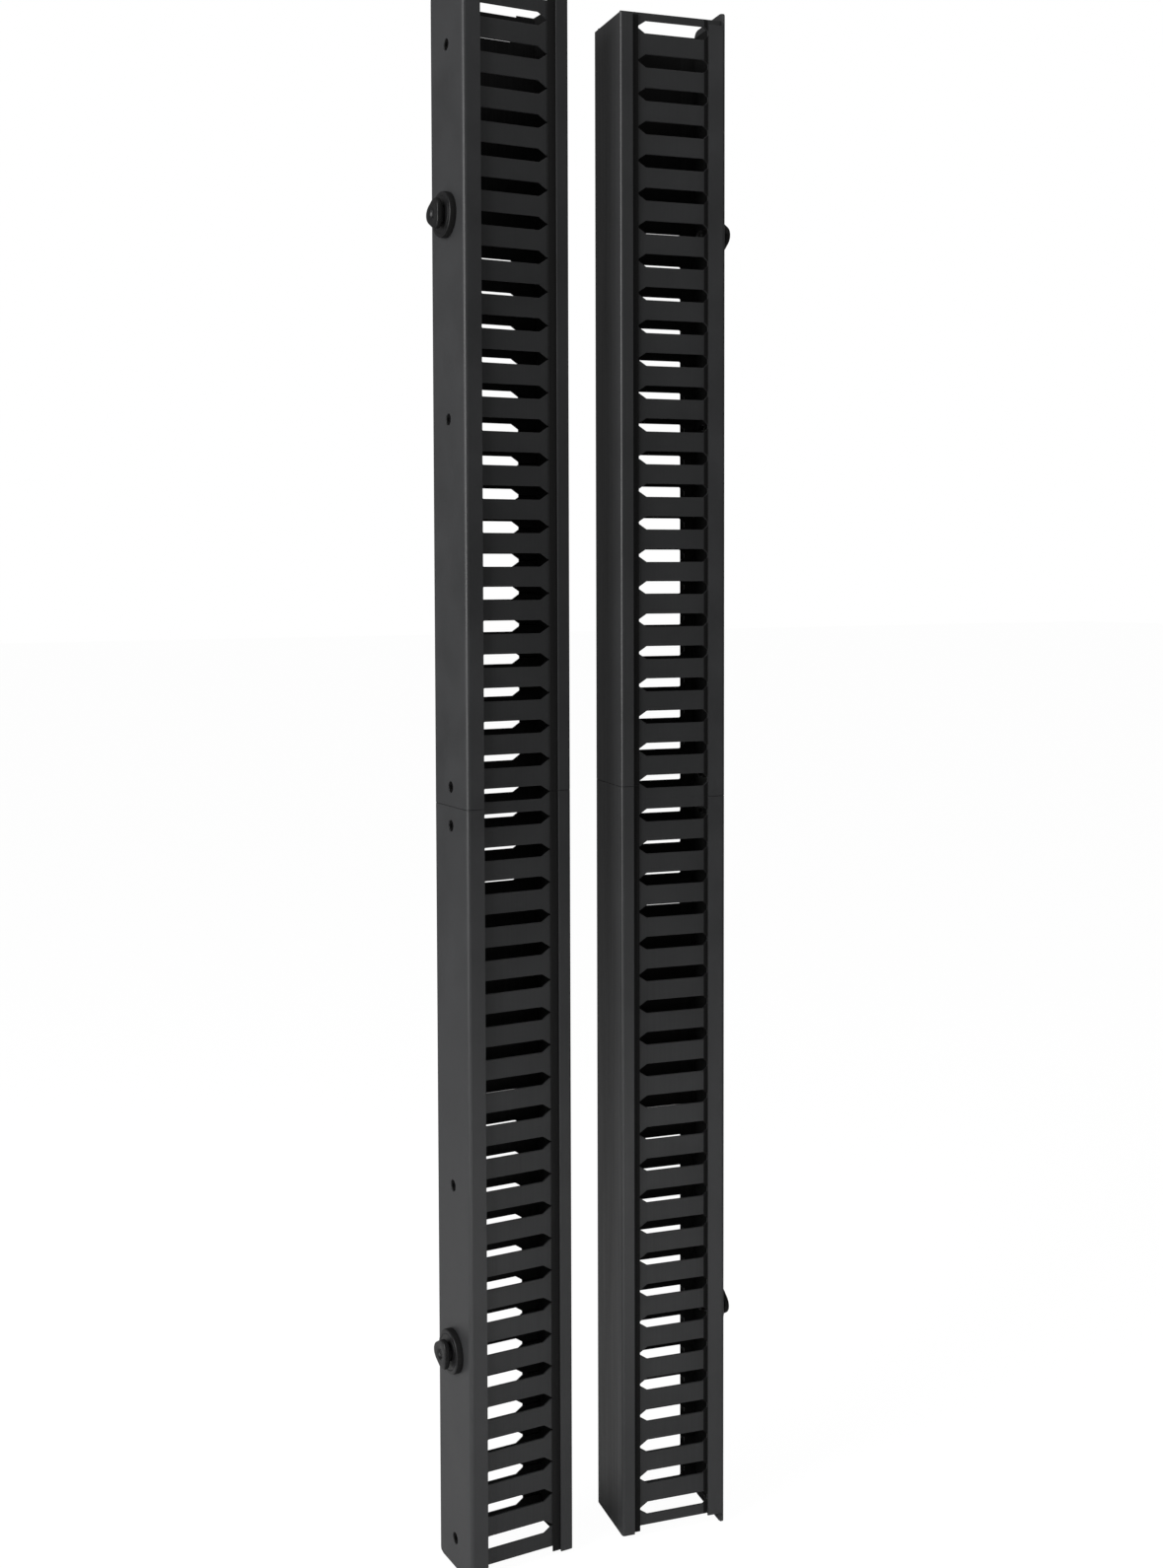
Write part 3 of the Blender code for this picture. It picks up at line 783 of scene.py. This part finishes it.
@dataclass
class MountingButton:
    """A round collar on the back face and a three-lobed hand knob on a stud, washer and nut."""

    axes: ColumnAxes
    name: str
    back_gap: float = 0.0003
    collar_radius: float = 0.026
    collar_thickness: float = 0.008
    collar_edge: float = 0.0016
    collar_bore: float = 0.0043
    back_chamfer: float = 0.0004
    groove_inset: float = 0.00512
    groove_depth: float = 0.0004
    seat_radius: float = 0.0122
    seat_depth: float = 0.0006
    neck_radius: float = 0.011
    neck_length: float = 0.0035
    knob_radius: float = 0.0185
    knob_thickness: float = 0.0065
    knob_edge: float = 0.0018
    lobes: int = 3
    scallop: float = 0.0040
    # Painted shade on the round sides of the collar and knob
    painted_side_shade: float = 0.8
    dish_radius: float = 0.0065
    dish_depth: float = 0.002
    dish_rim_width: float = 0.0009
    dish_rim_depth: float = 0.0003
    socket_depth: float = 0.0065
    stud_radius: float = 0.004
    thread_pitch: float = 0.00125
    thread_depth: float = 0.0005
    fastener_rounding: float = 0.0003
    round_steps: int = 96
    stud_steps: int = 32

    def collar(self) -> bmesh.types.BMesh:
        """Turn the collar: a rounded rim, a shallow groove near it and the neck's seat.

        Returns:
            The collar along X.
        """
        back = -self.back_gap
        front = back - self.collar_thickness
        groove = self.collar_radius - self.groove_inset
        profile = [
            (back, self.collar_bore),
            (back, self.collar_radius - self.back_chamfer),
            (back - self.back_chamfer, self.collar_radius),
            *rounded_rim(front, self.collar_radius, self.collar_edge, Rim.ONTO_FACE),
            (front, groove + self.groove_depth),
            (front + self.groove_depth, groove),
            (front, groove - self.groove_depth),
            (front, self.seat_radius),
            (front + self.seat_depth, self.seat_radius),
            (front + self.seat_depth, self.collar_bore),
            (back, self.collar_bore),
        ]
        return turned(profile, self.round_steps)

    def knob(self) -> bmesh.types.BMesh:
        """Turn the hand knob: a round neck, a lobed head with rounded edges and a dished face.

        Returns:
            The knob along X.
        """
        seat = -self.back_gap - self.collar_thickness + self.seat_depth - self.back_gap
        under = -self.back_gap - self.collar_thickness - self.neck_length
        face = under - self.knob_thickness
        edge = self.knob_edge
        bore = self.stud_radius + self.back_gap
        rim = rounded_rim(under, self.knob_radius, edge, Rim.OFF_FACE)
        profile = [
            (seat - self.socket_depth, 0.0),
            (seat - self.socket_depth, bore),
            (seat, bore),
            (seat, self.neck_radius),
            (under, self.neck_radius),
            *((under - (x - under), radius) for x, radius in rim),
            *rounded_rim(face, self.knob_radius, edge, Rim.ONTO_FACE),
            (face, self.dish_radius + self.dish_rim_width),
            (face + self.dish_rim_depth, self.dish_radius),
            (face + self.dish_depth, self.dish_radius - self.dish_depth),
            (face + self.dish_depth, 0.0),
        ]
        shell = turned(profile, self.round_steps)
        self.cut_lobes(shell, under)
        return shell

    def cut_lobes(self, shell: bmesh.types.BMesh, under: float) -> None:
        """Draw a round knob head in between its lobes, and leave its neck and its dish round.

        Args:
            shell: The turned knob.
            under: Where the head's inner face lies along X.
        """
        start = self.dish_radius + self.knob_edge
        for vertex in shell.verts:
            across = Vector((0.0, vertex.co.y, vertex.co.z))
            reach = across.length
            if reach <= start or vertex.co.x > under + self.back_gap:
                continue
            if abs(reach - self.neck_radius) < self.back_gap and vertex.co.x > under - self.back_gap:
                continue
            wave = (1 - math.cos(self.lobes * math.atan2(vertex.co.z, vertex.co.y))) / 2
            share = (reach - start) / (self.knob_radius - start)
            across *= (reach - share * self.scallop * wave) / reach
            vertex.co.y = across.y
            vertex.co.z = across.z

    def stud(self) -> bmesh.types.BMesh:
        """Turn the knob's stud, as long as its CAD node is, with its thread's ridges.

        Returns:
            The stud along X.
        """
        least, greatest = self.axes.depths(f"{self.name}_stud")
        slack = abs(self.axes.depth.y) * self.stud_radius
        start = least + slack
        end = greatest - slack
        radius = self.stud_radius
        depth = self.thread_depth
        pitch = self.thread_pitch
        x = start + self.collar_thickness
        profile = [(start, 0.0), (start, radius - depth), (start + depth, radius), (x, radius)]
        while x + 2 * pitch < end:
            profile.append((x + pitch / 2, radius - depth))
            profile.append((x + pitch, radius))
            x += pitch
        profile.extend([(end - depth, radius - depth / 2), (end, radius - 2 * depth), (end, 0.0)])
        return turned(profile, self.stud_steps)

    def build(self, shop: Workshop) -> None:
        """Place all five pieces of the button.

        Args:
            shop: The workshop that dresses them.
        """
        place = self.axes.matrix(middle_height(f"{self.name}_collar"))
        turning = f"{self.name}_hand_knob"
        for part, shell, body, slot in (
            ("collar", self.collar(), FIXED_BODY, Slot.KNOB_PLASTIC),
            ("knob", self.knob(), turning, Slot.KNOB_PLASTIC),
            ("stud", self.stud(), turning, Slot.ZINC_STEEL),
        ):
            # Painted shade on the plastic pieces' round sides
            if slot is Slot.KNOB_PLASTIC:
                paint_shade_sides(shell, self.painted_side_shade)
            bmesh.ops.transform(shell, matrix=place, verts=shell.verts)
            shop.finish(shell, f"{self.name}_{part}", body, slot)
        for part in ("washer", "nut"):
            node = f"{self.name}_{part}"
            shell = shop.refined(node, self.fastener_rounding)
            shop.finish(shell, node, FIXED_BODY, Slot.ZINC_STEEL)


@dataclass
class DuctScrew:
    """A countersunk machine screw with a hexagon socket, and its nut inside the duct."""

    axes: ColumnAxes
    column: str
    section: Section
    number: int
    head_radius: float = 0.0068
    head_sunk: float = 0.0008
    head_depth: float = 0.0018
    shank_radius: float = 0.0025
    socket_radius: float = 0.0030
    socket_depth: float = 0.0016
    socket_slack: float = 0.0001
    socket_sides: int = 6
    thread_pitch: float = 0.0008
    thread_depth: float = 0.00035
    nut_rounding: float = 0.00025
    steps: int = 48
    # Painted shade over the whole screw, which sits sunk in the channel
    painted_sunk_shade: float = 1.0

    def node(self, kind: str) -> str:
        """Return the name of the screw's or nut's node."""
        return f"{self.column}_duct_{kind}_{self.section.value}_{self.number}"

    def screw(self) -> bmesh.types.BMesh:
        """Turn the screw, with a hexagon socket sunk in its head.

        Returns:
            The screw along X.
        """
        greatest = self.axes.depths(self.node("screw"))[1]
        end = greatest - abs(self.axes.depth.y) * self.head_radius
        radius = self.shank_radius
        rim = self.thread_depth
        cone_end = self.head_sunk + self.head_depth
        profile = [
            (self.head_sunk + self.socket_depth, 0.0),
            (self.head_sunk + self.socket_depth, self.socket_radius),
            (self.head_sunk, self.socket_radius),
            (self.head_sunk, self.head_radius - rim),
            (self.head_sunk + rim / 2, self.head_radius),
            (cone_end, radius),
        ]
        x = cone_end + self.thread_pitch
        while x + self.thread_pitch < end:
            profile.append((x, radius))
            profile.append((x + self.thread_pitch / 2, radius - self.thread_depth))
            x += self.thread_pitch
        profile.extend([(end - rim, radius), (end, radius - rim), (end, 0.0)])
        shell = turned(profile, self.steps)
        self.cut_socket(shell, cone_end)
        return shell

    def cut_socket(self, shell: bmesh.types.BMesh, cone_end: float) -> None:
        """Draw the round socket in to its flats.

        Args:
            shell: The turned screw.
            cone_end: Where its head ends along X.
        """
        side = math.tau / self.socket_sides
        for vertex in shell.verts:
            reach = math.hypot(vertex.co.y, vertex.co.z)
            if abs(reach - self.socket_radius) > self.socket_slack or vertex.co.x > cone_end:
                continue
            turn = math.atan2(vertex.co.z, vertex.co.y) % side - side / 2
            flat = math.cos(side / 2) / math.cos(turn)
            vertex.co.y *= flat
            vertex.co.z *= flat

    def build(self, shop: Workshop) -> None:
        """Place the screw and its nut.

        Args:
            shop: The workshop that dresses them.
        """
        shell = self.screw()
        # Painted shade on every face of the screw
        paint_shade_all(shell, self.painted_sunk_shade)
        place = self.axes.matrix(middle_height(self.node("screw")))
        bmesh.ops.transform(shell, matrix=place, verts=shell.verts)
        shop.finish(shell, self.node("screw"), FIXED_BODY, Slot.BLACK_SCREW)
        nut = self.node("nut")
        shop.finish(shop.refined(nut, self.nut_rounding), nut, FIXED_BODY, Slot.ZINC_STEEL)


@dataclass
class CableManager:
    """One column: two sections of channel, duct and cover, their buttons, screws and joining plate."""

    name: str
    # Where the painted shadow beside the flange ends along the depth, on a column that has one
    shadow_strip_end: float | None = None
    channel_rounding: float = 0.0005
    duct_rounding: float = 0.0011
    cover_rounding: float = 0.0004
    plate_rounding: float = 0.0004
    # Depths of the flanges' end faces, which get painted shade; a painted shadow strip on the duct starts
    # there too
    flange_edge_start: float = 0.0205
    flange_edge_end: float = 0.0235
    # Where the cover's lip starts; the cover's faces nearer the back, its rails, get painted shade
    lip_start: float = 0.1172
    # How dark the painted shade is on faces inside the duct and under the cover
    painted_inside_shade: float = 0.9
    cut_slack: float = 0.00001
    seam_gap: float = 0.00002
    seam_reach: float = 0.0001
    screws_in_section: int = 3

    def build(self, shop: Workshop) -> None:
        """Place every piece of the column.

        Args:
            shop: The workshop that dresses them.
        """
        axes = column_axes(self.name)
        for section in Section:
            self.channel(shop, axes, section)
            self.duct(shop, axes, section)
            self.cover(shop, axes, section)
            MountingButton(axes, f"{self.name}_button_{section.value}").build(shop)
            for number in range(1, self.screws_in_section + 1):
                DuctScrew(axes, self.name, section, number).build(shop)
        plate = f"{self.name}_joining_plate"
        shop.finish(shop.refined(plate, self.plate_rounding), plate, FIXED_BODY, Slot.ZINC_STEEL)

    def channel(self, shop: Workshop, axes: ColumnAxes, section: Section) -> None:
        """Place a section's back channel, with painted shade on the end faces of its flanges.

        Args:
            shop: The workshop that dresses it.
            axes: The column's axes.
            section: Which section it is.
        """
        node = f"{self.name}_back_channel_{section.value}"
        shell = shop.refined(node, self.channel_rounding, square_ends=True)
        # Painted shade on the flanges' end faces
        paint_shade_band(shell, axes, self.flange_edge_start, self.flange_edge_end, True)
        shop.finish(shell, node, FIXED_BODY, Slot.PAINTED_STEEL)

    def duct(self, shop: Workshop, axes: ColumnAxes, section: Section) -> None:
        """Place a section's finger duct, with painted shade inside and a painted shadow on any strip
        beside the flange.

        Args:
            shop: The workshop that dresses it.
            axes: The column's axes.
            section: Which section it is.
        """
        node = f"{self.name}_finger_duct_{section.value}"
        shell = shop.refined(node, self.duct_rounding, square_ends=True)
        self.close_seam(shell, section)
        # A painted shadow on the strip of duct wall beside the flange
        if self.shadow_strip_end is not None:
            self.cut_across(shell, axes, self.flange_edge_start)
            self.cut_across(shell, axes, self.shadow_strip_end)
            paint_shade_band(shell, axes, self.flange_edge_start, self.shadow_strip_end, False)
        # Painted shade on the faces that look into the duct
        paint_shade_inside(shell, axes, self.painted_inside_shade)
        shop.finish(shell, node, FIXED_BODY, Slot.DUCT_PLASTIC)

    def cover(self, shop: Workshop, axes: ColumnAxes, section: Section) -> None:
        """Place a section's cover, with painted shade on its rails and its inner face.

        Args:
            shop: The workshop that dresses it.
            axes: The column's axes.
            section: Which section it is.
        """
        node = f"{self.name}_cover_{section.value}"
        shell = shop.refined(node, self.cover_rounding, square_ends=True)
        # Painted shade on the rails, and on the inner face
        paint_shade_band(shell, axes, 0.0, self.lip_start, False)
        paint_shade_inside(shell, axes, self.painted_inside_shade)
        shop.finish(shell, node, node, Slot.COVER_PLASTIC)

    def close_seam(self, shell: bmesh.types.BMesh, section: Section) -> None:
        """Bring a duct's inner end to the middle of the seam, where the sections butt together.

        Args:
            shell: The duct's mesh.
            section: Which section it is.
        """
        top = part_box(f"{self.name}_finger_duct_lower")[1][2]
        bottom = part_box(f"{self.name}_finger_duct_upper")[0][2]
        upper = section is Section.UPPER
        end = bottom if upper else top
        middle = (top + bottom) / 2 + (self.seam_gap if upper else -self.seam_gap)
        for vertex in shell.verts:
            if abs(vertex.co.z - end) < self.seam_reach:
                vertex.co.z = middle

    def cut_across(self, shell: bmesh.types.BMesh, axes: ColumnAxes, depth: float) -> None:
        """Divide a duct's faces along a plane across its depth.

        Args:
            shell: The duct's mesh.
            axes: The column's axes.
            depth: Where the plane lies along the depth.
        """
        bmesh.ops.bisect_plane(
            shell,
            geom=list(shell.verts) + list(shell.edges) + list(shell.faces),
            dist=self.cut_slack,
            plane_co=axes.origin + axes.depth * depth,
            plane_no=axes.depth,
        )


# Camera and studio


@dataclass
class PhotoCamera:
    """The camera at the photograph's place."""

    place: Point = (-1.0350, -1.8843, 1.1736)
    tilt: float = math.radians(87.215)
    roll: float = math.radians(0.162)
    heading: float = math.radians(-28.684)
    focal_pixels: float = 1830.0
    centre_row: float = 670.29
    sensor: float = 36.0

    def build(self) -> None:
        """Add the camera and make it the scene's."""
        data = bpy.data.cameras.new("photo_camera")
        data.sensor_fit = "AUTO"
        data.sensor_width = self.sensor
        data.lens = self.sensor * self.focal_pixels / PICTURE_HEIGHT
        data.shift_y = -(PICTURE_HEIGHT / 2 - self.centre_row) / PICTURE_HEIGHT
        camera = bpy.data.objects.new("photo_camera", data)
        camera.location = self.place
        camera.rotation_euler = (self.tilt, self.roll, self.heading)
        bpy.context.scene.collection.objects.link(camera)
        bpy.context.scene.camera = camera
        log.info("camera at %s", self.place)


@dataclass(frozen=True)
class Softbox:
    """One plain area lamp."""

    name: str
    place: Point
    aim: Point
    width: float
    height: float
    power: float

    def build(self) -> None:
        """Add the lamp, turned to its aim."""
        data = bpy.data.lights.new(self.name, "AREA")
        data.shape = "RECTANGLE"
        data.size = self.width
        data.size_y = self.height
        data.energy = self.power
        lamp = bpy.data.objects.new(self.name, data)
        lamp.location = self.place
        direction = Vector(self.aim) - Vector(self.place)
        lamp.rotation_euler = direction.to_track_quat("-Z", "Y").to_euler()
        bpy.context.scene.collection.objects.link(lamp)


@dataclass
class Studio:
    """A wide white floor and a plain white world, with soft lamps."""

    floor_half: float = 30.0
    floor_colour: Colour = (0.80, 0.80, 0.80)
    floor_roughness: float = 0.9
    floor_specular: float = 0.1
    floor_glow_share: float = 0.90
    floor_glow: float = 1.08
    world_light: float = 0.17
    lamps: tuple[Softbox, ...] = (
        Softbox("left_softbox", (-2.5, -0.5, 1.6), (0.0, 0.0, 0.95), 1.4, 2.4, 82.0),
        Softbox("front_softbox", (-0.4, -3.2, 2.2), (0.0, 0.0, 1.5), 1.6, 1.2, 1.5),
        Softbox("low_softbox", (-0.2, -1.0, 0.16), (0.0, 0.0, 0.12), 0.9, 0.25, 2.4),
        Softbox("top_softbox", (0.0, -0.9, 3.2), (0.0, 0.0, 1.0), 1.4, 0.6, 10.0),
    )

    def seen(self, tree: bpy.types.NodeTree) -> bpy.types.NodeSocket:
        """Tell what the camera sees directly or through glass from what only lights the object.

        Args:
            tree: The node tree of the floor or the world.

        Returns:
            The socket of a value that is one where it is seen and zero elsewhere.
        """
        path = tree.nodes.new("ShaderNodeLightPath")
        either = tree.nodes.new("ShaderNodeMath")
        either.operation = "MAXIMUM"
        tree.links.new(path.outputs["Is Camera Ray"], either.inputs[0])
        tree.links.new(path.outputs["Is Transmission Ray"], either.inputs[1])
        return either.outputs[0]

    def floor(self) -> None:
        """Add the floor, which stays white to the camera and keeps the object's shadow."""
        sheet = bmesh.new()
        bmesh.ops.create_grid(sheet, x_segments=1, y_segments=1, size=self.floor_half)
        mesh = bpy.data.meshes.new("floor_shape")
        sheet.to_mesh(mesh)
        sheet.free()
        floor = bpy.data.objects.new("floor", mesh)
        bpy.context.scene.collection.objects.link(floor)
        material = bpy.data.materials.new("white_floor")
        material.use_nodes = True
        tree = material.node_tree
        matt = tree.nodes["Principled BSDF"]
        matt.inputs["Base Color"].default_value = (*self.floor_colour, 1.0)
        matt.inputs["Roughness"].default_value = self.floor_roughness
        matt.inputs["Specular IOR Level"].default_value = self.floor_specular
        glow = tree.nodes.new("ShaderNodeEmission")
        glow.inputs["Strength"].default_value = self.floor_glow
        mix = tree.nodes.new("ShaderNodeMixShader")
        share = tree.nodes.new("ShaderNodeMath")
        share.operation = "MULTIPLY"
        share.inputs[1].default_value = self.floor_glow_share
        tree.links.new(self.seen(tree), share.inputs[0])
        tree.links.new(share.outputs[0], mix.inputs[0])
        tree.links.new(matt.outputs[0], mix.inputs[1])
        tree.links.new(glow.outputs[0], mix.inputs[2])
        tree.links.new(mix.outputs[0], tree.nodes["Material Output"].inputs["Surface"])
        mesh.materials.append(material)

    def world(self) -> None:
        """Set the world: white to the camera, and a low even light on the object."""
        world = bpy.data.worlds.new("studio_world")
        bpy.context.scene.world = world
        world.use_nodes = True
        tree = world.node_tree
        backdrop = tree.nodes["Background"]
        backdrop.inputs["Color"].default_value = (1.0, 1.0, 1.0, 1.0)
        level = tree.nodes.new("ShaderNodeMath")
        level.operation = "MAXIMUM"
        level.inputs[1].default_value = self.world_light
        tree.links.new(self.seen(tree), level.inputs[0])
        tree.links.new(level.outputs[0], backdrop.inputs["Strength"])

    def build(self) -> None:
        """Add floor, world and lamps."""
        self.floor()
        self.world()
        for lamp in self.lamps:
            lamp.build()
            log.info("lamp %s, %.1f W", lamp.name, lamp.power)


def main() -> None:
    """Build both columns, the camera and the studio."""
    logging.basicConfig(level=logging.INFO, format="%(name)s: %(message)s")
    PhotoCamera().build()
    shop = Workshop()
    shop.prepare()
    CableManager("left").build(shop)
    CableManager("right", shadow_strip_end=RIGHT_PAINTED_SHADOW_END).build(shop)
    Studio().build()
    bpy.context.scene.view_settings.view_transform = "Standard"


if __name__ == "__main__":
    main()
